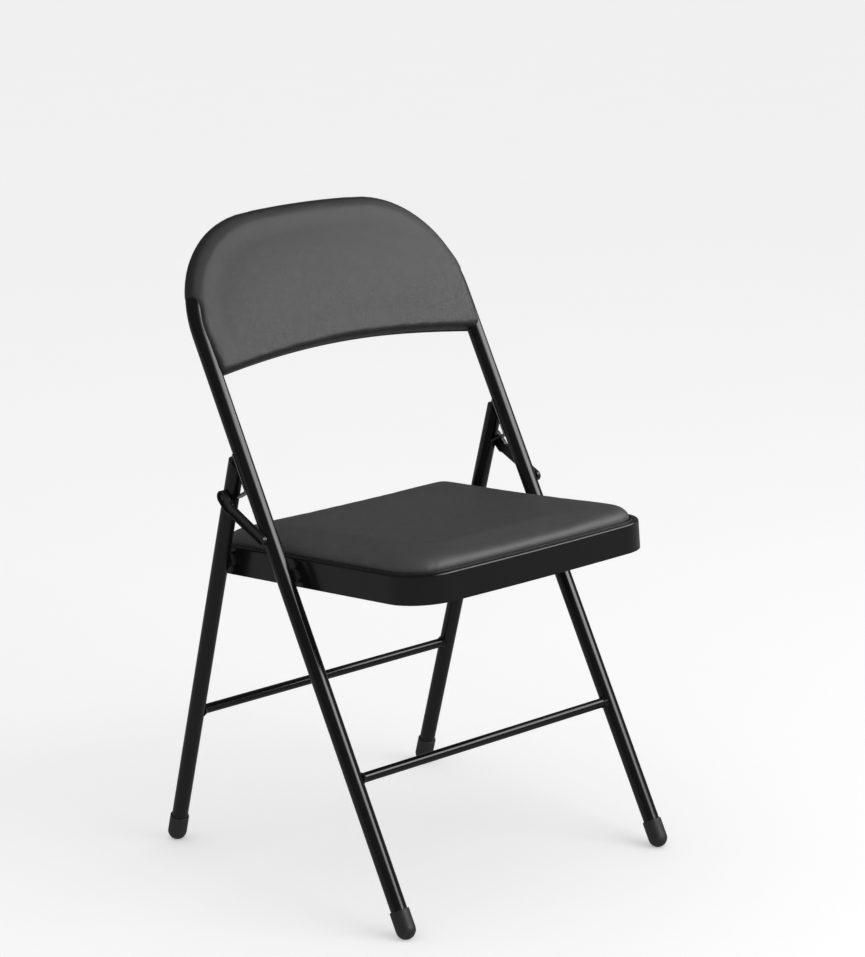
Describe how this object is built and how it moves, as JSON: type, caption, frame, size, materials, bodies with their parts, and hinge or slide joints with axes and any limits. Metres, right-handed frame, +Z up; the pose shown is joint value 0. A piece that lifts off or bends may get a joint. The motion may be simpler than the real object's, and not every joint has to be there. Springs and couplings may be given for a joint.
{
  "type": "folding chair",
  "caption": "Folding chair with a bent steel tube frame, a padded seat pan, a padded curved backrest and rear legs that fold flat against the frame.",
  "frame": {"origin": "on the floor at the middle of the open chair's footprint", "axes": "+Z up, the chair faces -Y, +X to the sitter's left"},
  "size_m": [0.444, 0.4688, 0.7855],
  "materials": {
    "frame_paint": "black gloss paint",
    "pan_paint": "black gloss paint",
    "strap_paint": "black satin paint",
    "seat_vinyl": "satin dark grey vinyl",
    "back_vinyl": "satin dark grey vinyl",
    "welt_vinyl": "satin grey vinyl cord",
    "black_plastic": "matte black plastic",
    "nylon": "black nylon",
    "zinc_steel": "zinc plated",
    "plywood": "plain plywood"
  },
  "bodies": {
    "front_frame": {"frame_tube": "frame_paint", "front_brace": "frame_paint", "front_brace_welds": "frame_paint", "front_foot_cap_left": "black_plastic", "front_foot_cap_right": "black_plastic", "stop_bracket_left": "frame_paint", "stop_bracket_right": "frame_paint", "backrest_lugs": "frame_paint", "backrest_board": "plywood", "backrest_screws": "zinc_steel", "backrest_pad": "back_vinyl", "backrest_rear_cover": "back_vinyl", "seat_pivot_stud_left": "zinc_steel", "seat_pivot_stud_right": "zinc_steel", "link_lower_rivet_left": "zinc_steel", "link_lower_rivet_right": "zinc_steel"},
    "seat": {"seat_pan": "pan_paint", "seat_board": "plywood", "seat_screws": "zinc_steel", "seat_pad": "seat_vinyl", "seat_welt": "welt_vinyl", "seat_pivot_spacer_left": "nylon", "seat_pivot_spacer_right": "nylon", "leg_pivot_spacer_left": "nylon", "leg_pivot_spacer_right": "nylon"},
    "rear_legs": {"rear_leg_left": "frame_paint", "rear_leg_right": "frame_paint", "rear_brace": "frame_paint", "rear_brace_welds": "frame_paint", "rear_foot_cap_left": "black_plastic", "rear_foot_cap_right": "black_plastic", "leg_top_plug_left": "black_plastic", "leg_top_plug_right": "black_plastic", "leg_pivot_stud_left": "zinc_steel", "leg_pivot_stud_right": "zinc_steel"},
    "link_left": {"link_strap_left": "strap_paint", "link_upper_rivet_left": "zinc_steel"},
    "link_right": {"link_strap_right": "strap_paint", "link_upper_rivet_right": "zinc_steel"}
  },
  "joints": [
    {"name": "seat_fold", "type": "hinge", "parent": "front_frame", "child": "seat", "pos_m": [0, -0.01187, 0.38743], "axis": [-1, 0, 0], "range_deg": [0, 105.56]},
    {"name": "leg_swing", "type": "hinge", "parent": "seat", "child": "rear_legs", "pos_m": [0, 0.11099, 0.383], "axis": [1, 0, 0], "range_deg": [0, 60.47]},
    {"name": "link_left_swing", "type": "hinge", "parent": "front_frame", "child": "link_left", "pos_m": [0.2065, 0.01175, 0.4311], "axis": [-1, 0, 0], "range_deg": [0, 130.3]},
    {"name": "link_right_swing", "type": "hinge", "parent": "front_frame", "child": "link_right", "pos_m": [-0.2065, 0.01175, 0.4311], "axis": [-1, 0, 0], "range_deg": [0, 130.3]}
  ],
  "couplings": [
    {"joint": "leg_swing", "follows": "seat_fold", "ratio": 0.57273},
    {"joint": "link_left_swing", "follows": "seat_fold", "ratio": 1.2343},
    {"joint": "link_right_swing", "follows": "seat_fold", "ratio": 1.2343}
  ]
}
